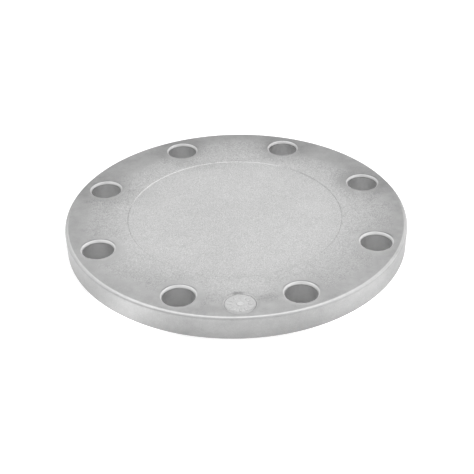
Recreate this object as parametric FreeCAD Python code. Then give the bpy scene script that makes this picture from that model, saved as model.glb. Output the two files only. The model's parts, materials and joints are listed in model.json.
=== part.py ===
# Blind flange for a pipe end: one cast aluminium disc, and the identification slug that is pressed into it.
#
# Frame: +Z is the flange's axis, the outer face looks up, and the origin is the centre of the flat sealing
# face underneath. The eight bolt holes straddle the X and Y axes. Every length is in millimetres.

import FreeCAD, Part
import math
import os

# Disc
OUTER_RADIUS = 127.0  # at the top of the rim, a 10 inch flange
RIM_DRAFT = 0.3  # the rim leaves its mould downwards, so it is this much smaller at the bottom
THICKNESS = 17.0
RIM_ROUND = 2.0  # radius of the cast edge round the outer face
FACE_CHAMFER = 0.25  # broken edges of the turned sealing face

# Bolt holes: the 5 inch class 125/150 drilling
BOLT_CIRCLE_RADIUS = 107.95
HOLE_COUNT = 8
HOLE_RADIUS = 11.1
MOUTH_ROUND = 1.0  # each hole's mouth bends over at this radius
MOUTH_BEND = 45.0  # for this many degrees
THROAT_ROUND = 3.0  # and then at this one until it meets the bore
HOLE_STEP = 360.0 / HOLE_COUNT
FIRST_HOLE = HOLE_STEP / 2  # degrees from +X

# Shallow round step that the mould's centre insert leaves in the outer face
STEP_RADIUS = 80.0
STEP_DEPTH = 0.3
STEP_SLOPE = 0.25  # how far in its wall reaches at the floor
STEP_OFFSET = -0.75  # along X: the insert sits a little off centre

# Identification slug, midway between two holes, and the pocket that holds it
SLUG_X = -0.2
SLUG_Y = -110.4
SLUG_RADIUS = 10.75
SLUG_THICKNESS = 3.0
SLUG_CHAMFER = 0.25
POCKET_RADIUS = 10.8
POCKET_DEPTH = 3.5
POCKET_ROUND = 0.7

# Shallow dish at the pocket's edge, where a tool can lever the slug out. Its place is from the slug's middle.
DISH_OFFSET_X = -1.0
DISH_OFFSET_Y = 8.6
DISH_RADIUS = 4.65  # of its mouth
DISH_DEPTH = 0.8

# Raised marks on the slug: a plain ring of bars round a plain boss
MARK_HEIGHT = 0.3
MARK_SINK = 0.5  # how deep each mark's solid starts below the slug's face
BAR_COUNT = 12
BAR_INNER = 5.6
BAR_OUTER = 8.4
BAR_WIDTH = 0.9
BOSS_RADIUS = 2.3
BOSS_DRAFT = 0.25

# Turned gasket grooves in the sealing face
GROOVE_COUNT = 4
GROOVE_FIRST_RADIUS = 76.0
GROOVE_PITCH = 4.0
GROOVE_WIDTH = 1.0
GROOVE_DEPTH = 0.5

# Mark of the lathe centre in the sealing face
CENTRE_MARK_RADIUS = 2.0
CENTRE_MARK_DEPTH = 1.6

CLEAR = 1.0  # how far each cutter reaches past the face that it opens


def section_point(place):
    """A (radius, height) pair as a point in the XZ plane."""
    return FreeCAD.Vector(place[0], 0, place[1])


def on_arc(centre, radius, degrees):
    """The (radius, height) pair at this angle on an arc of the section."""
    turn = math.radians(degrees)
    return (centre[0] + radius * math.cos(turn), centre[1] + radius * math.sin(turn))


def turned(start, steps):
    """Solid of revolution about Z. Each step is (end,) for a straight run or (middle, end) for an arc."""
    edges = []
    here = start
    for step in (*steps, (start,)):
        end = step[-1]
        if len(step) == 2:
            curve = Part.Arc(section_point(here), section_point(step[0]), section_point(end))
        else:
            curve = Part.LineSegment(section_point(here), section_point(end))
        edges.append(curve.toShape())
        here = end
    section = Part.Face(Part.Wire(edges))
    return section.revolve(FreeCAD.Vector(0, 0, 0), FreeCAD.Vector(0, 0, 1), 360)


def moved(shape, x, y):
    """A copy of the shape, shifted level."""
    copy = shape.copy()
    copy.translate(FreeCAD.Vector(x, y, 0))
    return copy


def blank_disc():
    """The plain disc, with the cast round along its top edge and the turned chamfer along its bottom one."""
    bottom_radius = OUTER_RADIUS - RIM_DRAFT
    round_centre = (OUTER_RADIUS - RIM_ROUND, THICKNESS - RIM_ROUND)
    steps = (
        ((bottom_radius - FACE_CHAMFER, 0),),
        ((bottom_radius, FACE_CHAMFER),),
        ((OUTER_RADIUS, round_centre[1]),),
        (on_arc(round_centre, RIM_ROUND, 45), (round_centre[0], THICKNESS)),
        ((0, THICKNESS),),
    )
    return turned((0, 0), steps)


def bolt_hole():
    """Cutter for one through hole: a plain bore whose mouth opens in two arcs that run into each other."""
    bend = math.radians(MOUTH_BEND)
    drop = MOUTH_ROUND * (1 - math.cos(bend)) + THROAT_ROUND * math.cos(bend)
    throat_centre = (HOLE_RADIUS + THROAT_ROUND, THICKNESS - drop)
    join = on_arc(throat_centre, THROAT_ROUND, 90 + MOUTH_BEND)
    mouth_centre = (join[0] + MOUTH_ROUND * math.sin(bend), THICKNESS - MOUTH_ROUND)
    steps = (
        ((HOLE_RADIUS, -CLEAR),),
        ((HOLE_RADIUS, throat_centre[1]),),
        (on_arc(throat_centre, THROAT_ROUND, 135 + MOUTH_BEND / 2), join),
        (on_arc(mouth_centre, MOUTH_ROUND, 90 + MOUTH_BEND / 2), (mouth_centre[0], THICKNESS)),
        ((mouth_centre[0], THICKNESS + CLEAR),),
        ((0, THICKNESS + CLEAR),),
    )
    return turned((0, -CLEAR), steps)


def bolt_holes():
    """The eight cutters, on their circle."""
    holes = []
    for number in range(HOLE_COUNT):
        turn = math.radians(FIRST_HOLE + number * HOLE_STEP)
        x = BOLT_CIRCLE_RADIUS * math.cos(turn)
        y = BOLT_CIRCLE_RADIUS * math.sin(turn)
        holes.append(moved(bolt_hole(), x, y))
    return holes


def slug_pocket():
    """Cutter for the slug's flat-bottomed round pocket, with a rounded mouth."""
    round_centre = (POCKET_RADIUS + POCKET_ROUND, THICKNESS - POCKET_ROUND)
    steps = (
        ((POCKET_RADIUS, THICKNESS - POCKET_DEPTH),),
        ((POCKET_RADIUS, round_centre[1]),),
        (on_arc(round_centre, POCKET_ROUND, 135), (round_centre[0], THICKNESS)),
        ((round_centre[0], THICKNESS + CLEAR),),
        ((0, THICKNESS + CLEAR),),
    )
    return moved(turned((0, THICKNESS - POCKET_DEPTH), steps), SLUG_X, SLUG_Y)


def lever_dish():
    """Cutter for the dish at the pocket's edge: the bottom of a large ball."""
    ball_radius = (DISH_RADIUS**2 + DISH_DEPTH**2) / (2 * DISH_DEPTH)
    ball_height = THICKNESS - DISH_DEPTH + ball_radius
    ball = Part.makeSphere(ball_radius, FreeCAD.Vector(0, 0, ball_height))
    return moved(ball, SLUG_X + DISH_OFFSET_X, SLUG_Y + DISH_OFFSET_Y)


def centre_step():
    """Cutter for the shallow step, with its sloping wall."""
    steps = (
        ((STEP_RADIUS - STEP_SLOPE, THICKNESS - STEP_DEPTH),),
        ((STEP_RADIUS, THICKNESS),),
        ((STEP_RADIUS, THICKNESS + CLEAR),),
        ((0, THICKNESS + CLEAR),),
    )
    return moved(turned((0, THICKNESS - STEP_DEPTH), steps), STEP_OFFSET, 0)


def gasket_groove(radius):
    """Cutter for one V groove in the sealing face."""
    half_mouth = GROOVE_WIDTH / 2 * (1 + CLEAR / GROOVE_DEPTH)
    steps = (
        ((radius + half_mouth, -CLEAR),),
        ((radius, GROOVE_DEPTH),),
    )
    return turned((radius - half_mouth, -CLEAR), steps)


def centre_mark():
    """Cutter for the small cone that the lathe centre leaves."""
    mouth = CENTRE_MARK_RADIUS * (1 + CLEAR / CENTRE_MARK_DEPTH)
    return turned((0, -CLEAR), (((mouth, -CLEAR),), ((0, CENTRE_MARK_DEPTH),)))


def flange_disc():
    """The cast disc with everything that is cut or cast into it."""
    cutters = bolt_holes()
    cutters.append(centre_step())
    cutters.append(slug_pocket())
    cutters.append(lever_dish())
    for number in range(GROOVE_COUNT):
        cutters.append(gasket_groove(GROOVE_FIRST_RADIUS + number * GROOVE_PITCH))
    cutters.append(centre_mark())
    return blank_disc().cut(cutters)


def marking_bar(base, turn):
    """One raised bar, which points at the slug's middle."""
    length = BAR_OUTER - BAR_INNER
    height = MARK_SINK + MARK_HEIGHT
    bar = Part.makeBox(length, BAR_WIDTH, height, FreeCAD.Vector(BAR_INNER, -BAR_WIDTH / 2, base - MARK_SINK))
    bar.rotate(FreeCAD.Vector(0, 0, 0), FreeCAD.Vector(0, 0, 1), turn)
    return bar


def marking_slug():
    """The round slug, standing on its pocket's floor, with its raised marks."""
    floor = THICKNESS - POCKET_DEPTH
    face = floor + SLUG_THICKNESS
    body = turned(
        (0, floor),
        (
            ((SLUG_RADIUS - SLUG_CHAMFER, floor),),
            ((SLUG_RADIUS, floor + SLUG_CHAMFER),),
            ((SLUG_RADIUS, face - SLUG_CHAMFER),),
            ((SLUG_RADIUS - SLUG_CHAMFER, face),),
            ((0, face),),
        ),
    )
    boss = Part.makeCone(
        BOSS_RADIUS, BOSS_RADIUS - BOSS_DRAFT, MARK_SINK + MARK_HEIGHT, FreeCAD.Vector(0, 0, face - MARK_SINK)
    )
    marks = [boss]
    for number in range(BAR_COUNT):
        marks.append(marking_bar(face, number * 360.0 / BAR_COUNT))
    return moved(body.fuse(marks).removeSplitter(), SLUG_X, SLUG_Y)


def main():
    os.makedirs("parts", exist_ok=True)
    nodes = {"flange_disc": flange_disc(), "marking_slug": marking_slug()}
    for name, shape in nodes.items():
        shape.exportStep(f"parts/{name}.step")
        print(f"{name}: {len(shape.Solids)} solid, valid {shape.isValid()}, {shape.Volume / 1000:.1f} cm3")


main()
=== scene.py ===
# %% [markdown]
# # A cast aluminium blind flange
# A blind flange closes the end of a pipe. This one is a thick cast disc with eight bolt holes, and a small
# round identification slug is pressed into a pocket in its outer face. The disc was cast in a metal mould,
# blasted to an even grain, and then turned flat underneath, where it seals on a gasket.
#
# The sizes come from the CAD frame. The lesson is how to make clean, closed meshes for precise cast parts,
# and how to give bare aluminium its look without any picture textures.

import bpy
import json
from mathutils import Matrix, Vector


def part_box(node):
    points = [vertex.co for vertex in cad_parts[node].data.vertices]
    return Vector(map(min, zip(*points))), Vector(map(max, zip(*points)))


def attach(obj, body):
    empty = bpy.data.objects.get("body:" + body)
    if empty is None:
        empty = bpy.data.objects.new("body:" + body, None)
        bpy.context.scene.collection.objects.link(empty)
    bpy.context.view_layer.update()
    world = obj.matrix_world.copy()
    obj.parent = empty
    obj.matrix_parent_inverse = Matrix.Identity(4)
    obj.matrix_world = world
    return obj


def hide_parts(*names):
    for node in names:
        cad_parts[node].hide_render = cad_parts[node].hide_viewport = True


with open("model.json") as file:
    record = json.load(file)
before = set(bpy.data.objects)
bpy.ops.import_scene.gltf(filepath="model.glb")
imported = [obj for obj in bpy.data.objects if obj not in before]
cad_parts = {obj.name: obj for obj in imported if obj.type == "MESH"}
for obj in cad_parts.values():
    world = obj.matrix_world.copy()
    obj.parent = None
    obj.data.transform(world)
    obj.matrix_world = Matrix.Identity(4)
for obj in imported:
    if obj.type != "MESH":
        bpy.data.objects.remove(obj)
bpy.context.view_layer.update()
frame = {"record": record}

# %% Other modules
import json
from math import asin, cos, degrees, pi, radians, sin

import bmesh
import bpy
import numpy as np
from mathutils import Quaternion, Vector, noise

# %% [markdown]
# ## Sizes
# The frame already knows the outline, the thickness, the bolt circle and the slug's place, so they are read
# and never typed again. Only what the frame doesn't list, such as edge rounds, is named here.

# %% Sizes read from the frame
MM = 0.001
_, disc_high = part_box("flange_disc")
slug_low, slug_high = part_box("marking_slug")
bolt_circle = next(m for m in frame["record"]["mounts"] if m["name"] == "bolt_circle")["dims"]

OUTER_RADIUS = disc_high.x
THICKNESS = disc_high.z
BOLT_RADIUS = bolt_circle["pcd_mm"] / 2 * MM
HOLE_RADIUS = bolt_circle["hole_r_mm"] * MM
HOLE_COUNT = bolt_circle["count"]
SLUG_CENTRE = np.array([(slug_low.x + slug_high.x) / 2, (slug_low.y + slug_high.y) / 2])
SLUG_RADIUS = (slug_high.x - slug_low.x) / 2
print(f"disc {2 * OUTER_RADIUS / MM:.1f} x {THICKNESS / MM:.1f} mm with {HOLE_COUNT} holes")
print(f"slug {2 * SLUG_RADIUS / MM:.1f} mm across")

# %% Sizes of the small features
RIM_ROUND = 2.0 * MM
RIM_DRAFT = 0.3 * MM
EDGE_CHAMFER = 0.25 * MM
MOUTH_ROUND = 1.0 * MM  # a hole's mouth bends over at this radius
MOUTH_BEND = 45  # for this many degrees
THROAT_ROUND = 3.0 * MM  # and then at this one until it meets the bore
STEP_RADIUS = 80.0 * MM
STEP_DEPTH = 0.3 * MM
STEP_SLOPE = 0.25 * MM
STEP_CENTRE = np.array([-0.75 * MM, 0.0])
POCKET_GAP = 0.05 * MM
POCKET_ROUND = 0.7 * MM
POCKET_DEPTH = THICKNESS - slug_low.z
DISH_CENTRE = SLUG_CENTRE + np.array([-1.2, 11.4]) * MM
DISH_REACH = np.array([5.8, 3.2]) * MM  # half its length and half its width
DISH_DEPTH = 0.7 * MM
GROOVE_RADII = [(76.0 + 4.0 * number) * MM for number in range(4)]
GROOVE_HALF_WIDTH = 0.5 * MM
GROOVE_DEPTH = 0.5 * MM
CENTRE_MARK_RADIUS = 2.0 * MM
CENTRE_MARK_DEPTH = 1.6 * MM

# %% [markdown]
# ## Camera
# The camera comes first, so that every later step can be judged in the picture. It looks down on the flange
# from the slug's side with a long lens, which keeps the ellipses of the rim and the holes calm.

# %% Place the camera
VIEW_DISTANCE = 0.8244
VIEW_ELEVATION = radians(33.38)
VIEW_AZIMUTH = radians(-0.99)
VIEW_ROLL = radians(-1.11)
VIEW_AIM = Vector((0.0005, 0.0, -0.0034))
VIEW_LENS = 82.8

camera = bpy.data.objects.new("camera", bpy.data.cameras.new("camera"))
camera.data.lens = VIEW_LENS
camera.location = VIEW_DISTANCE * Vector((
    sin(VIEW_AZIMUTH) * cos(VIEW_ELEVATION),
    -cos(VIEW_AZIMUTH) * cos(VIEW_ELEVATION),
    sin(VIEW_ELEVATION),
))
look = (VIEW_AIM - camera.location).to_track_quat("-Z", "Y")
camera.rotation_mode = "QUATERNION"
camera.rotation_quaternion = look @ Quaternion((0, 0, 1), VIEW_ROLL)
bpy.context.scene.collection.objects.link(camera)
bpy.context.scene.camera = camera
print("camera at", tuple(round(value, 4) for value in camera.location))

# %% [markdown]
# ## How the disc's mesh is laid out
# A disc with holes could be cut with Boolean modifiers, but those leave long thin triangles that shade badly
# on bright metal. Here the disc is laid out the way a patient modeller would draw it on paper. Sixteen equal
# sectors run round the bolt circle. Every second one holds a bolt hole, and one of the others holds the
# slug's pocket. In each of those sectors, rings of points grow from the round hole out to the sector's edge,
# so that all the faces are small even quads. Every other surface is a stack of rings with the same number of
# points, so all the patches meet point to point and weld into one closed skin.

# %% A skin that collects patches
SIDE = 24  # faces along each side of a sector
SECTORS = 2 * HOLE_COUNT
AROUND = SECTORS * SIDE
CAST, TURNED, BORED = 0, 1, 2  # finishes, in the order of the material slots


class Skin:
    """Patches of points and faces that become one welded mesh."""

    def __init__(self):
        self.points = []
        self.faces = []
        self.finishes = []

    def add(self, points, faces, finish):
        first = len(self.points)
        self.points.extend(map(tuple, points))
        self.faces.extend(tuple(first + corner for corner in face) for face in faces)
        self.finishes.extend([finish] * len(faces))

    def grid(self, rows, finish, closed=False):
        """Quads between rows of equally many points. A closed grid joins each row's end to its start."""
        rows = np.array(rows)
        count, width = rows.shape[:2]
        span = width if closed else width - 1
        faces = []
        for row in range(count - 1):
            here, after = row * width, (row + 1) * width
            for i in range(span):
                j = (i + 1) % width
                faces.append((here + i, here + j, after + j, after + i))
        self.add(rows.reshape(-1, 3), faces, finish)

    def halve(self, outer, inner, finish):
        """Joins a ring to a ring with half as many points."""
        count = len(inner)
        faces = []
        for i in range(count):
            a, b, c = 2 * i, 2 * i + 1, (2 * i + 2) % (2 * count)
            here, after = 2 * count + i, 2 * count + (i + 1) % count
            faces += [(a, b, here), (b, after, here), (b, c, after)]
        self.add([*outer, *inner], faces, finish)

    def cap(self, ring, tip, finish):
        """A fan from a ring to one point."""
        count = len(ring)
        self.add([*ring, tip], [(i, (i + 1) % count, count) for i in range(count)], finish)


# %% Rings and arcs
def ring(radius, z, centre=(0.0, 0.0), count=AROUND):
    """Points round a circle, from the first sector's edge."""
    turn = 2 * pi * (np.arange(count) / count) - pi / SECTORS
    flat = np.full(count, z)
    return np.stack([centre[0] + radius * np.cos(turn), centre[1] + radius * np.sin(turn), flat], axis=1)


def between(first, last, steps):
    """Rows that blend evenly from one row of points to another, both ends included."""
    return [first + (last - first) * share for share in np.linspace(0, 1, steps + 1)]


def corner_arc(centre_radius, centre_z, radius, start, end, steps):
    """(radius, z) pairs along an arc of a turned profile, with angles in degrees."""
    angles = np.radians(np.linspace(start, end, steps + 1))
    return [(centre_radius + radius * cos(turn), centre_z + radius * sin(turn)) for turn in angles]


# %% [markdown]
# ## The bolt-hole band
# The band runs from just outside the gasket grooves to just inside the rim. The same sectors are used above
# and below, at two heights, so each bore can be a plain stack of rings between two matching mouths.

# %% Sectors of the band
BAND_INNER = 90.5 * MM
BAND_OUTER = 124.4 * MM
PATCH_RINGS = 12


def sector_angle(sector):
    return 2 * pi * sector / SECTORS


def sector_rows(sector, z):
    """The sector as a square grid: rows run round the flange, from the band's inner edge to its outer one."""
    first = sector * SIDE
    picked = [(first + i) % AROUND for i in range(SIDE + 1)]
    return between(ring(BAND_INNER, z)[picked], ring(BAND_OUTER, z)[picked], SIDE)


def sector_outline(sector, z):
    """The sector's edge as one closed loop of points."""
    rows = np.array(sector_rows(sector, z))
    return np.concatenate([rows[0, :-1], rows[:-1, -1], rows[-1, :0:-1], rows[:0:-1, 0]])


def directions(outline, centre):
    """Unit vectors from a hole's centre to each point of the sector's edge."""
    away = outline[:, :2] - centre
    return away / np.linalg.norm(away, axis=1)[:, None]


def placed(centre, away, radii, z):
    """Points at these radii from a centre, all at one height."""
    flat = centre + away * np.reshape(radii, (-1, 1))
    return np.column_stack([flat, np.full(len(flat), z)])


def hole_centre(sector):
    return BOLT_RADIUS * np.array([cos(sector_angle(sector)), sin(sector_angle(sector))])


# %% Bolt holes: the band's odd sectors
BORE_STEPS = 6


def mouth_profile():
    """(radius, z) pairs from the outer face down a hole's mouth, as far as the straight bore."""
    bend = radians(MOUTH_BEND)
    throat_z = THICKNESS - MOUTH_ROUND * (1 - cos(bend)) - THROAT_ROUND * cos(bend)
    throat = corner_arc(HOLE_RADIUS + THROAT_ROUND, throat_z, THROAT_ROUND, 90 + MOUTH_BEND, 180, 8)
    mouth_radius = throat[0][0] + MOUTH_ROUND * sin(bend)
    mouth = corner_arc(mouth_radius, THICKNESS - MOUTH_ROUND, MOUTH_ROUND, 90, 90 + MOUTH_BEND, 5)
    return [*mouth, *throat[1:]]


def add_bolt_hole(skin, sector):
    centre = hole_centre(sector)
    above = sector_outline(sector, THICKNESS)
    below = sector_outline(sector, 0.0)
    away = directions(above, centre)
    mouth = [placed(centre, away, radius, z) for radius, z in mouth_profile()]
    foot = placed(centre, away, HOLE_RADIUS, 0.0)
    skin.grid(between(above, mouth[0], PATCH_RINGS), CAST, closed=True)
    skin.grid(mouth, CAST, closed=True)
    skin.grid(between(mouth[-1], foot, BORE_STEPS), BORED, closed=True)
    skin.grid(between(foot, below, PATCH_RINGS), TURNED, closed=True)


# %% [markdown]
# ## The slug's pocket
# The pocket is a plain round recess. On its inboard side its lip droops in a shallow dish, where a tool can
# get under the slug's edge. The dish is not cut: the points of the face simply sink, so the rings of the
# patch crowd together towards the pocket to leave enough of them there.

# %% Pocket and dish
POCKET_RADIUS = SLUG_RADIUS + POCKET_GAP
POCKET_SECTOR = 3 * SECTORS // 4  # the sector towards -Y
POCKET_RINGS = 20
CROWDING = 1.5


def soft_share(share):
    """A share, held between 0 and 1, with soft ends."""
    share = min(max(share, 0.0), 1.0)
    return share * share * (3 - 2 * share)


def dish_sink(x, y):
    """How far the face lies below its plane in the dish."""
    away = (np.array([x, y]) - DISH_CENTRE) / DISH_REACH
    return DISH_DEPTH * max(1 - np.linalg.norm(away), 0.0) ** 2


def sunk(row):
    """The row with its points let down into the dish."""
    drop = [dish_sink(x, y) for x, y, _ in row]
    return row - np.column_stack([np.zeros((len(row), 2)), drop])


def add_pocket(skin):
    outline = sector_outline(POCKET_SECTOR, THICKNESS)
    away = directions(outline, SLUG_CENTRE)
    profile = corner_arc(POCKET_RADIUS + POCKET_ROUND, THICKNESS - POCKET_ROUND, POCKET_ROUND, 90, 180, 4)
    mouth = [placed(SLUG_CENTRE, away, radius, z) for radius, z in profile]
    shares = 1 - (1 - np.linspace(0, 1, POCKET_RINGS + 1)) ** CROWDING
    face = [outline + (mouth[0] - outline) * share for share in shares]
    floor = placed(SLUG_CENTRE, away, POCKET_RADIUS, THICKNESS - POCKET_DEPTH)
    hub = placed(SLUG_CENTRE, away, POCKET_RADIUS / 4, THICKNESS - POCKET_DEPTH)
    skin.grid([sunk(row) for row in [*face, *mouth[1:]]], CAST, closed=True)
    skin.grid(between(sunk(mouth[-1]), floor, 3), CAST, closed=True)
    skin.grid(between(floor, hub, 4), CAST, closed=True)
    skin.cap(hub, (*SLUG_CENTRE, THICKNESS - POCKET_DEPTH), CAST)


# %% [markdown]
# ## The outer face's middle
# The mould's centre insert stood a little proud and a little off centre, so it left a shallow round step.
# An insert wears unevenly, so the step isn't the same all the way round. Its lip is broad and soft towards
# +X and for a short stretch at the far side, it has a faint moat at its foot elsewhere, and in two places
# the metal has torn the lip away. All of that is one function of how far a point is from the step's edge
# and in which direction. Inside it, the floor is a square grid bent into a disc, which keeps the faces even
# and avoids the pinched pole that a plain polar grid would have at its centre.

# %% Step profile
STEP_LINES = np.array([
    2.4, 1.8, 1.3, 0.9, 0.6, 0.4, 0.25, 0.12, 0.0, -0.04, -0.08, -0.12, -0.16, -0.2,
    -0.3, -0.45, -0.65, -0.9, -1.3, -1.8, -2.4,
]) * MM  # distances outside the step's edge where the mesh has a ring
LIP_WIDTH = 1.5 * MM
LIP_DEPTH = 0.12 * MM
MOAT_DEPTH = 0.05 * MM
MOAT_WIDTH = 0.45 * MM
TEAR_WIDTH = 2.2 * MM
# Stretches of the step's edge: the middle direction and the half width, in degrees
BROAD_LIPS = ((5, 75), (85, 7))
TEARS = ((101.5, 1.6), (79.5, 1.3))
NO_MOAT = (90, 100)


def near_turn(turn, middle, half_width):
    """1 where a direction is close to the middle one, softly down to 0 at the half width. All in degrees."""
    away = abs((degrees(turn) - middle + 180) % 360 - 180)
    return 1 - soft_share(away / half_width)


def step_sink(outside, turn):
    """How far the outer face lies below its plane near the step's edge."""
    wall = STEP_DEPTH * soft_share(-outside / STEP_SLOPE)
    broad = max(near_turn(turn, *stretch) for stretch in BROAD_LIPS)
    lip = broad * LIP_DEPTH * (1 - soft_share(outside / LIP_WIDTH))
    rest = STEP_DEPTH - LIP_DEPTH * broad
    moat = (1 - near_turn(turn, *NO_MOAT)) * MOAT_DEPTH * max(1 - (outside / MOAT_WIDTH + 1.2) ** 2, 0)
    tear = max(near_turn(turn, *stretch) for stretch in TEARS)
    torn = tear * STEP_DEPTH * (1 - soft_share(outside / TEAR_WIDTH)) if outside > 0 else 0.0
    return max(lip + wall * rest / STEP_DEPTH, torn) + moat


# %% Step and floor
LAND_RINGS = 7


def bent_square(radius, centre, z, cells):
    """A square grid bent into a disc, so that its edge has evenly spaced points."""
    steps = np.linspace(-1, 1, cells + 1)
    a, b = np.meshgrid(steps, steps, indexing="ij")
    wide = np.abs(a) >= np.abs(b)
    reach = np.where(wide, a, b)
    safe = np.where(reach == 0, 1, reach)
    turn = np.where(wide, pi / 4 * b / safe, pi / 2 - pi / 4 * a / safe)
    x = centre[0] + radius * reach * np.cos(turn)
    y = centre[1] + radius * reach * np.sin(turn)
    return np.stack([x, y, np.full_like(x, z)], axis=2)


def step_row(outside):
    """The ring of the face that lies this far outside the step's edge."""
    row = ring(STEP_RADIUS + outside, THICKNESS, STEP_CENTRE)
    turns = np.arctan2(row[:, 1], row[:, 0] - STEP_CENTRE[0])
    row[:, 2] -= [step_sink(outside, turn) for turn in turns]
    return row


def add_outer_middle(skin):
    rows = [step_row(outside) for outside in STEP_LINES]
    skin.grid(between(ring(BAND_INNER, THICKNESS), rows[0], LAND_RINGS), CAST, closed=True)
    skin.grid(rows, CAST, closed=True)
    floor_radius = STEP_RADIUS + STEP_LINES[-1]
    skin.grid(bent_square(floor_radius, STEP_CENTRE, THICKNESS - STEP_DEPTH, AROUND // 4), CAST)


# %% [markdown]
# ## Rim and underside
# The rim is a turned profile: a cast round at the top, a wall with a little draft, and a chamfer that the
# lathe left when it faced the underside. The sealing face has four V grooves that bite into the gasket, and
# a small cone where the lathe's centre stood.

# %% Rim
RIM_ROUND_STEPS = 8
WALL_STEPS = 8


def add_rim(skin):
    low_radius = OUTER_RADIUS - RIM_DRAFT
    rounded = corner_arc(OUTER_RADIUS - RIM_ROUND, THICKNESS - RIM_ROUND, RIM_ROUND, 90, 0, RIM_ROUND_STEPS)
    top_radius, top_z = rounded[-1]
    wall = [
        (top_radius + (low_radius - top_radius) * share, top_z + (EDGE_CHAMFER - top_z) * share)
        for share in np.linspace(0, 1, WALL_STEPS + 1)[1:]
    ]
    profile = [(BAND_OUTER, THICKNESS), *rounded, *wall]
    skin.grid([ring(radius, z) for radius, z in profile], CAST, closed=True)
    chamfer = [ring(low_radius, EDGE_CHAMFER), ring(low_radius - EDGE_CHAMFER, 0.0), ring(BAND_OUTER, 0.0)]
    skin.grid(chamfer, TURNED, closed=True)


# %% Sealing face inside the bolt holes
PLAIN_RUN = 0.8  # share of the radius that is left after each run of plain quads
HALVING_RUN = 0.88  # and after each ring where the points are halved


def add_sealing_face(skin):
    rows = [ring(BAND_INNER, 0.0)]
    for radius in reversed(GROOVE_RADII):
        rows.append(ring(radius + GROOVE_HALF_WIDTH, 0.0))
        rows.append(ring(radius, GROOVE_DEPTH))
        rows.append(ring(radius - GROOVE_HALF_WIDTH, 0.0))
    skin.grid(rows, TURNED, closed=True)
    here = rows[-1]
    radius = GROOVE_RADII[0] - GROOVE_HALF_WIDTH
    while len(here) > SIDE:
        radius *= PLAIN_RUN
        nearer = ring(radius, 0.0, count=len(here))
        skin.grid(between(here, nearer, 3), TURNED, closed=True)
        radius *= HALVING_RUN
        coarser = ring(radius, 0.0, count=len(here) // 2)
        skin.halve(nearer, coarser, TURNED)
        here = coarser
    mark = ring(CENTRE_MARK_RADIUS, 0.0, count=SIDE)
    skin.grid(between(here, mark, 4), TURNED, closed=True)
    skin.cap(mark, (0.0, 0.0, CENTRE_MARK_DEPTH), TURNED)


# %% [markdown]
# ## A casting is never quite flat
# A cast face sinks a little where the metal cooled last, and the blasting leaves it faintly wavy. The waves
# are real geometry, far too small to feel but enough to stir the light. They only ever go down from the
# nominal face, so the mesh stays inside the CAD's box, and they fade out before the turned face.

# %% Waves of the cast faces
WAVE_HEIGHT = 0.10 * MM
WAVE_SIZES = ((26.0 * MM, 1.0), (11.0 * MM, 0.35))  # wavelength and share of the height
WALL_WAVE = 0.06 * MM
FACE_SEED, WALL_SEED = 3.0, 9.0  # where in the noise the face's and the wall's waves are taken from
WAVES_FROM, WAVES_GROW = 0.5, 0.3  # share of the thickness where the face's waves start, and grow to full
WALL_BAND = 0.7 * MM  # points this close to the rim's radius belong to the wall
WALL_GROW = 3 * MM  # height over which the wall's waves grow to full


def wave(place, offset):
    """A smooth random height from 0 to 1 at a place."""
    total = sum(share for _, share in WAVE_SIZES)
    shift = Vector((offset, 0, 0))
    height = sum(share * noise.noise(Vector(place) / size + shift) for size, share in WAVE_SIZES)
    return min(max(0.5 + 0.5 * height / total, 0.0), 1.0)


def wavy(points):
    """The skin's points, with the cast faces let down and the wall let in."""
    moved = np.array(points)
    flat_radius = np.hypot(moved[:, 0], moved[:, 1])
    for i, (x, y, z) in enumerate(points):
        down = soft_share((z / THICKNESS - WAVES_FROM) / WAVES_GROW)
        if down > 0:
            moved[i, 2] -= down * WAVE_HEIGHT * wave((x, y, 0), FACE_SEED)
        if flat_radius[i] > OUTER_RADIUS - WALL_BAND and z > EDGE_CHAMFER:
            inward = WALL_WAVE * wave((x, y, z), WALL_SEED) * soft_share((z - EDGE_CHAMFER) / WALL_GROW)
            moved[i, :2] *= 1 - inward / flat_radius[i]
    return moved


# %% Weld a skin into a mesh object
WELD = 0.002 * MM
SHARP = radians(32)


def made_piece(name, skin, materials, points=None):
    """One closed mesh object from a skin, with smooth faces and sharp corners."""
    mesh = bpy.data.meshes.new(name)
    mesh.from_pydata(list(map(tuple, skin.points if points is None else points)), [], skin.faces)
    mesh.polygons.foreach_set("material_index", skin.finishes)
    shape = bmesh.new()
    shape.from_mesh(mesh)
    bmesh.ops.remove_doubles(shape, verts=shape.verts, dist=WELD)
    bmesh.ops.recalc_face_normals(shape, faces=shape.faces)
    open_edges = sum(not edge.is_manifold for edge in shape.edges)
    print(f"{name}: {len(shape.faces)} faces, {open_edges} open edges, {shape.calc_volume() * 1e6:.1f} cm3")
    shape.to_mesh(mesh)
    shape.free()
    for material in materials:
        mesh.materials.append(material)
    mesh.shade_smooth()
    mesh.set_sharp_from_angle(angle=SHARP)
    piece = bpy.data.objects.new(name, mesh)
    bpy.context.scene.collection.objects.link(piece)
    return piece


# %% [markdown]
# ## Bare cast aluminium
# Blasted aluminium is a rough mirror. Its grain scatters the light of the whole room, so it looks bright and
# even. Round the rim and the holes, handling and tumbling have rubbed the grain down, so the metal is a
# smoother mirror there and shows the darker gaps between the lamps.
#
# The tone is a plain sum of layers. Each layer is a soft mask, which is 1 where a mark lies and 0 elsewhere,
# and a number that says how much lighter or darker the metal is there. The masks are worked out from where a
# point lies on the flange, so every mark stays on the metal when the flange is seen from elsewhere.
# Several layers are painted light: painted highlights on the rounds of the rim, the mouths and the pocket,
# on the mouths' near lips and on the step's lit edge, and painted shade beyond the mouths, round the pocket,
# in the dish and in the step's crease.

# %% Node helpers
def new_material(name):
    material = bpy.data.materials.new(name)
    material.use_nodes = True
    return material, material.node_tree.nodes["Principled BSDF"], material.node_tree


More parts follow.
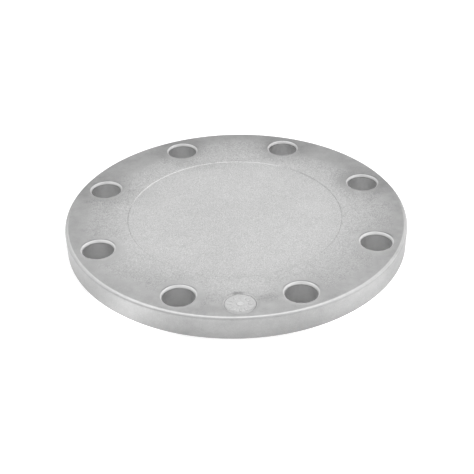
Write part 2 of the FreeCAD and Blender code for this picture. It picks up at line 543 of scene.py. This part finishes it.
def math_node(tree, operation, *values):
    """A Math node. Each value is a number or another node's output."""
    node = tree.nodes.new("ShaderNodeMath")
    node.operation = operation
    for socket, value in zip(node.inputs, values):
        if isinstance(value, (int, float)):
            socket.default_value = value
        else:
            tree.links.new(value, socket)
    return node.outputs[0]


def scaled(tree, value, factor, offset=0.0):
    """value * factor + offset."""
    return math_node(tree, "MULTIPLY_ADD", value, factor, offset)


def centred(tree, noise_value):
    """A noise value shifted to swing about 0."""
    return scaled(tree, noise_value, 1.0, -0.5)


def mixed(tree, start, *layers):
    """A value with layers added to it. Each layer is a value and its factor."""
    for value, factor in layers:
        start = math_node(tree, "ADD", start, scaled(tree, value, factor))
    return start


def product(tree, *values):
    result = values[0]
    for value in values[1:]:
        result = math_node(tree, "MULTIPLY", result, value)
    return result


def ramp(tree, value, low, high, to_low=0.0, to_high=1.0):
    """A soft step from to_low to to_high as value goes from low to high."""
    node = tree.nodes.new("ShaderNodeMapRange")
    node.interpolation_type = "SMOOTHSTEP"
    tree.links.new(value, node.inputs["Value"])
    for socket, number in zip(("From Min", "From Max", "To Min", "To Max"), (low, high, to_low, to_high)):
        node.inputs[socket].default_value = number
    return node.outputs[0]


def within(tree, value, full, none):
    """1 up to full, falling softly to 0 at none."""
    return ramp(tree, value, full, none, 1.0, 0.0)


def band(tree, value, foot, top, end, last):
    """1 from top to end, falling softly to 0 at foot and at last."""
    return product(tree, ramp(tree, value, foot, top), within(tree, value, end, last))


def grain(tree, place, size, detail=2.0, rough=0.5):
    """A noise value, about 0 to 1, with features of this size in metres."""
    node = tree.nodes.new("ShaderNodeTexNoise")
    node.inputs["Scale"].default_value = 1 / size
    node.inputs["Detail"].default_value = detail
    node.inputs["Roughness"].default_value = rough
    tree.links.new(place, node.inputs["Vector"])
    return node.outputs["Fac"]


def bump(tree, height, distance, strength):
    node = tree.nodes.new("ShaderNodeBump")
    node.inputs["Distance"].default_value = distance
    node.inputs["Strength"].default_value = strength
    tree.links.new(height, node.inputs["Height"])
    return node.outputs["Normal"]


def grey(tree, value):
    """A neutral colour from one value."""
    node = tree.nodes.new("ShaderNodeCombineColor")
    for socket in node.inputs[:3]:
        tree.links.new(value, socket)
    return node.outputs[0]


def finish_metal(tree, shader, tone, roughness, normal):
    """Plugs a bare metal's tone, roughness and bumps into its shader."""
    tree.links.new(grey(tree, tone), shader.inputs["Base Color"])
    tree.links.new(roughness, shader.inputs["Roughness"])
    tree.links.new(normal, shader.inputs["Normal"])
    shader.inputs["Metallic"].default_value = 1.0


# %% Where a point lies on the flange
def flat_distance(tree, x, y, centre=(0.0, 0.0), reach=(1.0, 1.0)):
    """The level distance from a centre. With a reach, it is measured in shares of an ellipse's half axes."""
    along = scaled(tree, x, 1 / reach[0], -centre[0] / reach[0])
    across = scaled(tree, y, 1 / reach[1], -centre[1] / reach[1])
    squares = [math_node(tree, "MULTIPLY", part, part) for part in (along, across)]
    return math_node(tree, "SQRT", math_node(tree, "ADD", *squares))


def flange_place(tree):
    """A point's place on the flange, and its three coordinates."""
    place = tree.nodes.new("ShaderNodeTexCoord").outputs["Object"]
    split = tree.nodes.new("ShaderNodeSeparateXYZ")
    tree.links.new(place, split.inputs[0])
    return place, *split.outputs


def hole_places(tree, x, y, radius):
    """The distance from the nearest hole's axis, and how far towards +Y of that axis the point is."""
    pitch = 2 * pi / HOLE_COUNT
    turn = scaled(tree, math_node(tree, "ARCTAN2", y, x), 1.0, 4 * pi)  # whole turns more, so it is above 0
    folded = scaled(tree, math_node(tree, "MODULO", turn, pitch), 1.0, -pitch / 2)
    hole_turn = math_node(tree, "SUBTRACT", turn, folded)
    out = scaled(tree, product(tree, radius, math_node(tree, "COSINE", folded)), 1.0, -BOLT_RADIUS)
    side = product(tree, radius, math_node(tree, "SINE", folded))
    out_beyond = product(tree, out, math_node(tree, "SINE", hole_turn))
    side_beyond = product(tree, side, math_node(tree, "COSINE", hole_turn))
    return flat_distance(tree, out, side), math_node(tree, "ADD", out_beyond, side_beyond)


# %% How rubbed the casting is
CLOUD, SMEAR, MOTTLE, SPECK = 30 * MM, 9 * MM, 5 * MM, 0.75 * MM  # sizes of the random marks
RAGGED_BY_CLOUD, RAGGED_BY_MOTTLE = 26 * MM, 12 * MM  # how far they push the rubbed zone's border about
NEAR_SIDE = (-40 * MM, 10 * MM)  # the slug's side of the flange ends over this stretch of Y
GRAINED = 62 * MM  # inside this radius the blasted grain is untouched
RUBBED = 124 * MM  # and here it is rubbed away
RIM_WEAR = (101 * MM, 114 * MM)  # smoothness grows over these radii
HOLE_WEAR = (13 * MM, 20 * MM)  # and fades over these distances from a hole's axis
PETALS, PETAL = 4, 5.5 * MM  # on the far side, how often and how far its border swings in and out
NEAR_SHIFT = 6 * MM  # on the slug's side it starts this much further out


class CastSpot:
    """A point of the casting, as node outputs: where it lies, its random marks, and how rubbed it is."""

    def __init__(self, tree):
        place, self.x, self.y, height = flange_place(tree)
        self.depth = scaled(tree, height, -1.0, THICKNESS)  # below the outer face
        self.radius = flat_distance(tree, self.x, self.y)
        self.hole, self.beyond = hole_places(tree, self.x, self.y, self.radius)
        self.near = within(tree, self.y, *NEAR_SIDE)
        self.far = scaled(tree, self.near, -1.0, 1.0)

        self.cloud = centred(tree, grain(tree, place, CLOUD, 2.0, 0.6))
        self.smear = centred(tree, grain(tree, place, SMEAR, 3.0, 0.6))
        self.mottle = centred(tree, grain(tree, place, MOTTLE, 2.0, 0.5))
        self.speck = centred(tree, grain(tree, place, SPECK, 2.0, 0.7))
        ragged = mixed(tree, scaled(tree, self.cloud, RAGGED_BY_CLOUD), (self.mottle, RAGGED_BY_MOTTLE))

        turn = math_node(tree, "ARCTAN2", self.y, self.x)
        petals = product(tree, math_node(tree, "COSINE", scaled(tree, turn, PETALS)), self.far)
        rubbed_radius = mixed(tree, self.radius, (ragged, 1.0), (self.near, -NEAR_SHIFT), (petals, -PETAL))
        by_rim = ramp(tree, rubbed_radius, *RIM_WEAR)
        by_hole = within(tree, mixed(tree, self.hole, (ragged, 0.45)), *HOLE_WEAR)
        self.outward = ramp(tree, mixed(tree, self.radius, (ragged, 0.5)), GRAINED, RUBBED)
        self.round_hole = within(tree, mixed(tree, self.hole, (ragged, 0.3)), 13 * MM, 31 * MM)
        self.on_wall = ramp(tree, self.depth, 0.5 * MM, 1.8 * MM)
        self.worn = math_node(tree, "MAXIMUM", math_node(tree, "MAXIMUM", by_rim, by_hole), self.on_wall)
        self.at_mouth = product(
            tree,
            within(tree, self.depth, 1.4 * MM, 2.6 * MM),
            within(tree, self.hole, HOLE_RADIUS + 0.9 * MM, HOLE_RADIUS + 1.7 * MM),
        )


# %% Layers of tone
LIT_SIDE = (-0.37, 0.93)  # the direction in which the step's edge catches the light
TONE_PATCHES = (
    # middle and reach in millimetres, and how much lighter the face is there
    (-85, -48, 42, 42, 0.035),
    (-24, 75, 28, 12, -0.05),
    (-4, -93, 52, 13, 0.035),
    (-72, 28, 22, 22, -0.02),
    (18, -106, 11, 8, -0.04),
    (-22, -115, 15, 7, -0.03),
)


def wear_layers(tree, spot):
    """The tone is darker outward and round the holes, most round the holes on the far side, and mottled all
    over.
    """
    return [
        (spot.outward, -0.13),
        (spot.worn, -0.05),
        (spot.on_wall, 0.035),
        (spot.round_hole, -0.015),
        (product(tree, spot.round_hole, spot.far), -0.045),
        (spot.cloud, 0.08),
        (spot.mottle, 0.06),
        (product(tree, spot.smear, spot.outward), 0.12),
        (product(tree, spot.smear, spot.on_wall), -0.06),
    ]


def edge_layers(tree, spot):
    """Painted highlights on the rim's round at ±X, the mouths and their near lips; painted shade beyond each
    far lip.
    """
    # A painted highlight on the rim's round towards ±X.
    rim_highlight = product(
        tree,
        within(tree, spot.depth, 0.5 * MM, 1.3 * MM),
        ramp(tree, spot.radius, OUTER_RADIUS - 2.9 * MM, OUTER_RADIUS - 2.1 * MM),
        within(tree, spot.y, -25 * MM, 25 * MM),
    )
    # A painted highlight on the near lip of each mouth.
    near_lip_highlight = product(
        tree, within(tree, spot.beyond, -9 * MM, -3 * MM), within(tree, spot.hole, 13 * MM, 16 * MM)
    )
    # A painted shade line just beyond the far side of each mouth, darker on the slug's side.
    outline = product(
        tree,
        band(tree, mixed(tree, spot.hole, (spot.smear, 2 * MM)), 12.5 * MM, 12.8 * MM, 13.2 * MM, 13.9 * MM),
        ramp(tree, spot.beyond, 2 * MM, 9 * MM),
    )
    # Each mouth's round gets a painted highlight as well.
    return [
        (rim_highlight, 0.18),
        (spot.at_mouth, 0.31),
        (near_lip_highlight, 0.04),
        (outline, -0.05),
        (product(tree, outline, spot.near), -0.08),
    ]


def pocket_layers(tree, spot):
    """A painted highlight on the pocket's round, a ring of painted shade beyond it, and painted shade in the
    dish.
    """
    from_slug = flat_distance(tree, spot.x, spot.y, SLUG_CENTRE)
    from_dish = flat_distance(tree, spot.x, spot.y, DISH_CENTRE, DISH_REACH)
    # Painted highlight on the pocket's round, painted shade round it and painted shade in the dish.
    return [
        (within(tree, from_slug, POCKET_RADIUS + 0.3 * MM, POCKET_RADIUS + 0.9 * MM), 0.10),
        (band(tree, from_slug, 11.4 * MM, 11.9 * MM, 12 * MM, 14 * MM), -0.02),
        (within(tree, from_dish, 0.3, 1.0), -0.16),
    ]


def step_layers(tree, spot):
    """The crease at the step's edge, bright on its lit side and dark elsewhere, and a burr's shadow."""
    from_step = scaled(tree, flat_distance(tree, spot.x, spot.y, STEP_CENTRE), 1.0, -STEP_RADIUS)
    crease = band(tree, from_step, -0.8 * MM, -0.35 * MM, -0.05 * MM, 0.3 * MM)
    towards_light = mixed(tree, scaled(tree, spot.y, LIT_SIDE[1]), (spot.x, LIT_SIDE[0]))
    lit = ramp(tree, towards_light, 35 * MM, 60 * MM)
    burr_shadow = product(
        tree,
        band(tree, from_step, 0.1 * MM, 0.5 * MM, 0.9 * MM, 1.3 * MM),
        band(tree, spot.x, -7 * MM, -4 * MM, 10 * MM, 13 * MM),
        lit,
    )
    return [
        (product(tree, crease, scaled(tree, lit, -1.0, 1.0)), -0.08),
        (product(tree, crease, lit), 0.20),
        (burr_shadow, -0.18),
    ]


def patch_layers(tree, spot):
    """Broad lighter and darker patches with smeared borders."""
    layers = []
    for centre_x, centre_y, reach_x, reach_y, change in TONE_PATCHES:
        centre, reach = (centre_x * MM, centre_y * MM), (reach_x * MM, reach_y * MM)
        away = mixed(tree, flat_distance(tree, spot.x, spot.y, centre, reach), (spot.smear, 1.0))
        layers.append((within(tree, away, 0.2, 1.0), change))
    return layers


# %% The cast finish
CENTRE_TONE = 0.53  # of the untouched blasted metal
GRAIN_TONE = 0.68  # how strongly the specks of the grain show
BLASTED_ROUGHNESS = 0.62
BURR_CENTRE = (-1 * MM, 84.5 * MM)
BURR_REACH = (8 * MM, 2.6 * MM)


def kept_specks(tree, spot):
    """The grain's specks: rubbed down outward, and coarse on the burr beyond the step."""
    burr = within(tree, flat_distance(tree, spot.x, spot.y, BURR_CENTRE, BURR_REACH), 0.3, 1.0)
    strength = mixed(
        tree, 1.0, (spot.worn, -0.75), (spot.outward, -0.1), (spot.on_wall, -0.1),
        (product(tree, spot.outward, spot.near), -0.3), (burr, 1.2),
    )
    return product(tree, spot.speck, strength)


def cast_metal():
    material, shader, tree = new_material("cast_aluminium")
    spot = CastSpot(tree)
    specks = kept_specks(tree, spot)
    layers = [
        *wear_layers(tree, spot),
        *edge_layers(tree, spot),
        *pocket_layers(tree, spot),
        *step_layers(tree, spot),
        *patch_layers(tree, spot),
        (specks, GRAIN_TONE),
    ]
    tone = mixed(tree, CENTRE_TONE, *layers)
    roughness = mixed(tree, BLASTED_ROUGHNESS, (spot.worn, -0.24), (spot.at_mouth, 0.12))
    finish_metal(tree, shader, tone, roughness, bump(tree, specks, 0.25 * MM, 0.6))
    print("cast finish:", len(layers), "layers of tone")
    return material


# %% [markdown]
# ## Machined surfaces
# The lathe leaves a fine spiral on the sealing face. A sine of the radius gives the ridges, and a slow noise
# varies how bright each band is, as a worn tool does. The bores have finer rings round them.

# %% Turned and bored metal
FACING_FEED = 0.4 * MM  # from one ridge of the sealing face to the next
TOOL_BANDS = 3 * MM
BORING_FEED = 0.5 * MM
RIDGE_HEIGHT = 0.01 * MM


def turned_metal():
    material, shader, tree = new_material("turned_aluminium")
    place, x, y, _ = flange_place(tree)
    radius = flat_distance(tree, x, y)
    ridges = math_node(tree, "SINE", scaled(tree, radius, 2 * pi / FACING_FEED))
    bands = tree.nodes.new("ShaderNodeTexNoise")
    bands.noise_dimensions = "1D"
    bands.inputs["Scale"].default_value = 1 / TOOL_BANDS
    tree.links.new(radius, bands.inputs["W"])
    tone = scaled(tree, bands.outputs["Fac"], 0.12, 0.56)
    roughness = scaled(tree, grain(tree, place, 9 * MM), 0.14, 0.22)
    finish_metal(tree, shader, tone, roughness, bump(tree, ridges, RIDGE_HEIGHT, 0.7))
    return material


def bored_metal():
    material, shader, tree = new_material("bored_aluminium")
    place, _, _, height = flange_place(tree)
    rings = math_node(tree, "SINE", scaled(tree, height, 2 * pi / BORING_FEED))
    tone = scaled(tree, grain(tree, place, 3 * MM, 3.0), 0.12, 0.71)
    roughness = scaled(tree, grain(tree, place, 2 * MM), 0.1, 0.36)
    finish_metal(tree, shader, tone, roughness, bump(tree, rings, RIDGE_HEIGHT, 0.4))
    return material


# %% Build the casting
casting_skin = Skin()
for sector in range(SECTORS):
    if sector % 2:
        add_bolt_hole(casting_skin, sector)
        continue
    casting_skin.grid(sector_rows(sector, 0.0), TURNED)
    if sector != POCKET_SECTOR:
        casting_skin.grid(sector_rows(sector, THICKNESS), CAST)
add_pocket(casting_skin)
add_outer_middle(casting_skin)
add_rim(casting_skin)
add_sealing_face(casting_skin)
casting = made_piece(
    "flange_casting", casting_skin, [cast_metal(), turned_metal(), bored_metal()], wavy(casting_skin.points)
)
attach(casting, "root")
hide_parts("flange_disc")

# %% [markdown]
# ## The identification slug
# The slug is coined: its marks rise with soft shoulders. Here they are a plain boss and a ring of twelve
# bars. The mesh is a polar grid whose lines follow each bar's two sides and two ends, so the bars stay
# parallel and crisp with few faces. A height function then lifts the grid.

# %% Slug sizes
MARK_HEIGHT = 0.3 * MM
BAR_COUNT = 12
BAR_INNER, BAR_OUTER = 5.6 * MM, 8.4 * MM
BAR_HALF_WIDTH = 0.45 * MM
SHOULDER = 0.3 * MM
BOSS_RADIUS = 2.3 * MM
SLUG_EDGE = 0.2 * MM  # radius of the round along its rim
SLUG_FACE = slug_high.z - MARK_HEIGHT
SLUG_FLOOR = slug_low.z


# %% The slug's grid
def shoulder_places(edge):
    """Places across one soft shoulder, from its foot to its top."""
    return [edge + SHOULDER / 2 - SHOULDER * step / 4 for step in range(5)]


def slug_radii():
    """Radii of the grid's rings, from the middle out, with lines on every shoulder."""
    inner_end = [BAR_INNER - (place - BAR_INNER) for place in shoulder_places(BAR_INNER)]
    lines = [0.8 * MM, 1.5 * MM, *reversed(shoulder_places(BOSS_RADIUS)), 3.2 * MM, 4.0 * MM, 4.8 * MM]
    lines += [*inner_end, 6.5 * MM, 7.5 * MM, *reversed(shoulder_places(BAR_OUTER)), 9.1 * MM, 9.7 * MM]
    return [*lines, SLUG_RADIUS - SLUG_EDGE]


def slug_turns(radius):
    """Angles of the grid's spokes on a ring this far out. They stay parallel beside each bar."""
    sides = shoulder_places(BAR_HALF_WIDTH)
    offsets = sorted([*sides, 0.0, *(-side for side in sides)])
    near = max(radius, BAR_INNER - SHOULDER)
    beside = [asin(offset / near) for offset in offsets]
    gap = 2 * pi / BAR_COUNT - 2 * beside[-1]
    free = [beside[-1] + gap * step / 5 for step in range(1, 5)]
    one_bar = [*beside, *free]
    return np.array([2 * pi * bar / BAR_COUNT + turn for bar in range(BAR_COUNT) for turn in one_bar])


def risen(distance):
    """The height share at a distance inside (above 0) or outside a mark's edge."""
    return soft_share(distance / SHOULDER + 0.5)


def mark_height(radius, turn):
    """How far the slug's face rises at a place."""
    if radius < BAR_INNER / 2:
        return MARK_HEIGHT * risen(BOSS_RADIUS - radius)
    pitch = 2 * pi / BAR_COUNT
    folded = (turn + pitch / 2) % pitch - pitch / 2
    across = risen(BAR_HALF_WIDTH - abs(radius * sin(folded)))
    along = min(risen(radius - BAR_INNER), risen(BAR_OUTER - radius))
    return MARK_HEIGHT * min(across, along)


# %% Slug material and mesh
def coined_metal():
    material, shader, tree = new_material("slug_aluminium")
    place, x, y, height = flange_place(tree)
    smudge = centred(tree, grain(tree, place, 3 * MM, 3.0))
    speck = centred(tree, grain(tree, place, 0.8 * MM, 2.0))
    above_face = scaled(tree, height, 1.0, -SLUG_FACE)
    # The marks get a painted highlight on their tops and painted shade at their feet.
    mark_top = ramp(tree, above_face, 0.1 * MM, 0.28 * MM)
    mark_foot = band(tree, above_face, 0.01 * MM, 0.05 * MM, 0.1 * MM, 0.2 * MM)
    # Painted shade towards the slug's rim, strongest on its -Y side.
    shade_centre = SLUG_CENTRE + np.array([0, 2.0]) * MM
    shaded_slug_edge = ramp(tree, flat_distance(tree, x, y, shade_centre), 9.6 * MM, 11.2 * MM)
    tone = mixed(
        tree, 0.49, (speck, 0.16), (smudge, 0.10), (mark_top, 0.07), (mark_foot, -0.10), (shaded_slug_edge, -0.09)
    )
    roughness = scaled(tree, grain(tree, place, 2 * MM), 0.14, 0.42)
    finish_metal(tree, shader, tone, roughness, bump(tree, speck, 0.08 * MM, 0.6))
    return material


def slug_row(radius, z_of):
    turns = slug_turns(radius)
    return [(SLUG_CENTRE[0] + radius * cos(t), SLUG_CENTRE[1] + radius * sin(t), z_of(t)) for t in turns]


slug_skin = Skin()
face_rows = [slug_row(r, lambda t, r=r: SLUG_FACE + mark_height(r, t)) for r in slug_radii()]
edge = corner_arc(SLUG_RADIUS - SLUG_EDGE, SLUG_FACE - SLUG_EDGE, SLUG_EDGE, 90, 0, 4)
for radius, z in edge[1:]:
    face_rows.append(slug_row(radius, lambda t, z=z: z))
face_rows.append(slug_row(SLUG_RADIUS, lambda t: SLUG_FLOOR))
face_rows.append(slug_row(SLUG_RADIUS / 2, lambda t: SLUG_FLOOR))
slug_skin.grid(face_rows, 0, closed=True)
slug_skin.cap(face_rows[0], (*SLUG_CENTRE, SLUG_FACE + MARK_HEIGHT), 0)
slug_skin.cap(face_rows[-1], (*SLUG_CENTRE, SLUG_FLOOR), 0)
slug = made_piece("identification_slug", slug_skin, [coined_metal()])
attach(slug, "root")
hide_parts("marking_slug")

# %% [markdown]
# ## Stage and light
# The flange lies on a light table: a pale floor that glows a little, and a little more in two directions
# close to the rim. That light comes up onto the wall. Under the flange the floor doesn't glow and is painted
# darker, a painted shade, so the bores stay deep. Round the table stand rings of soft boxes, with their own
# brightness in front, at the right, behind and at the left. Rough metal gathers the light of all of them.
# Smooth metal mirrors the gaps between them, which draws the edges, along with painted highlights in the
# tone.

# %% Floor
FLOOR_SIZE = 8.0
FLOOR_TONE = 0.9
# Painted shade: the floor's tone under the flange.
FLOOR_SHADE_TONE = 0.5  # under the flange
FLOOR_GLOW = 0.32
GLOW_LOBES = ((-129, 22, 0.55), (-45, 32, 0.4))  # direction and half width in degrees, and added glow


def light_table():
    """A pale floor that glows outside the flange and is painted darker under it, as painted shade."""
    material, shader, tree = new_material("pale_floor")
    _, x, y, _ = flange_place(tree)
    from_middle = flat_distance(tree, x, y)
    tone = ramp(tree, from_middle, OUTER_RADIUS - 6 * MM, OUTER_RADIUS - 2 * MM, FLOOR_SHADE_TONE, FLOOR_TONE)
    outside = ramp(tree, from_middle, OUTER_RADIUS - 3 * MM, OUTER_RADIUS - 1 * MM)
    nearby = within(tree, from_middle, OUTER_RADIUS + 40 * MM, OUTER_RADIUS + 120 * MM)
    turn = math_node(tree, "ARCTAN2", y, x)
    glow = scaled(tree, outside, FLOOR_GLOW)
    for middle, half_width, strength in GLOW_LOBES:
        away = math_node(tree, "ABSOLUTE", scaled(tree, turn, 1.0, -radians(middle)))
        lobe = within(tree, away, 0.0, radians(half_width))
        glow = mixed(tree, glow, (product(tree, lobe, outside, nearby), strength))
    tree.links.new(grey(tree, tone), shader.inputs["Base Color"])
    tree.links.new(glow, shader.inputs["Emission Strength"])
    shader.inputs["Emission Color"].default_value = (1, 1, 1, 1)
    shader.inputs["Roughness"].default_value = 0.9
    return material


reach = FLOOR_SIZE / 2
corners = [(-reach, -reach, 0), (reach, -reach, 0), (reach, reach, 0), (-reach, reach, 0)]
floor_mesh = bpy.data.meshes.new("floor")
floor_mesh.from_pydata(corners, [], [(0, 1, 2, 3)])
floor_mesh.materials.append(light_table())
floor = bpy.data.objects.new("floor", floor_mesh)
bpy.context.scene.collection.objects.link(floor)

# %% Room
ROOM_LIGHT = 0.44
world = bpy.data.worlds.new("room")
world.use_nodes = True
world.node_tree.nodes["Background"].inputs["Color"].default_value = (1, 1, 1, 1)
world.node_tree.nodes["Background"].inputs["Strength"].default_value = ROOM_LIGHT
bpy.context.scene.world = world
bpy.context.scene.view_settings.view_transform = "Standard"

# %% Soft boxes
BOX_DISTANCE = 1.5
BOX_WIDTH = 1.1
RINGS = (
    # elevation, height, number of boxes, and the brightness in front, at the right, behind and at the left
    (13, 0.6, 8, 1.0, 1.5, 0.4, 0.8),
    (38, 0.6, 8, 0.3, 0.5, 0.6, 0.5),
    (61, 0.7, 4, 0.2, 1.4, 1.7, 1.4),
    (88, 1.1, 1, 0.4, 0.4, 0.4, 0.4),
)


def wall_share(turn, front, right, behind, left):
    """The brightness in one direction, blended from the two studio walls beside it."""
    ahead, aside = cos(turn), sin(turn)
    return ahead**2 * (front if ahead > 0 else behind) + aside**2 * (right if aside > 0 else left)


def soft_box(name, turn, rise, height, brightness):
    """A box that faces the flange. Its brightness doesn't depend on its size or distance."""
    lamp = bpy.data.lights.new(name, "AREA")
    lamp.shape = "RECTANGLE"
    lamp.size, lamp.size_y = BOX_WIDTH, height
    lamp.energy = brightness * pi * BOX_WIDTH * height
    box = bpy.data.objects.new(name, lamp)
    box.location = BOX_DISTANCE * Vector((sin(turn) * cos(rise), -cos(turn) * cos(rise), sin(rise)))
    box.rotation_mode = "QUATERNION"
    box.rotation_quaternion = (-box.location).to_track_quat("-Z", "Y")
    box.visible_camera = False
    bpy.context.scene.collection.objects.link(box)


for elevation, height, count, *walls in RINGS:
    for number in range(count):
        turn = 2 * pi * number / count
        soft_box(f"soft_box_{elevation}_{number}", turn, radians(elevation), height, wall_share(turn, *walls))
print(len(bpy.data.lights), "soft boxes")
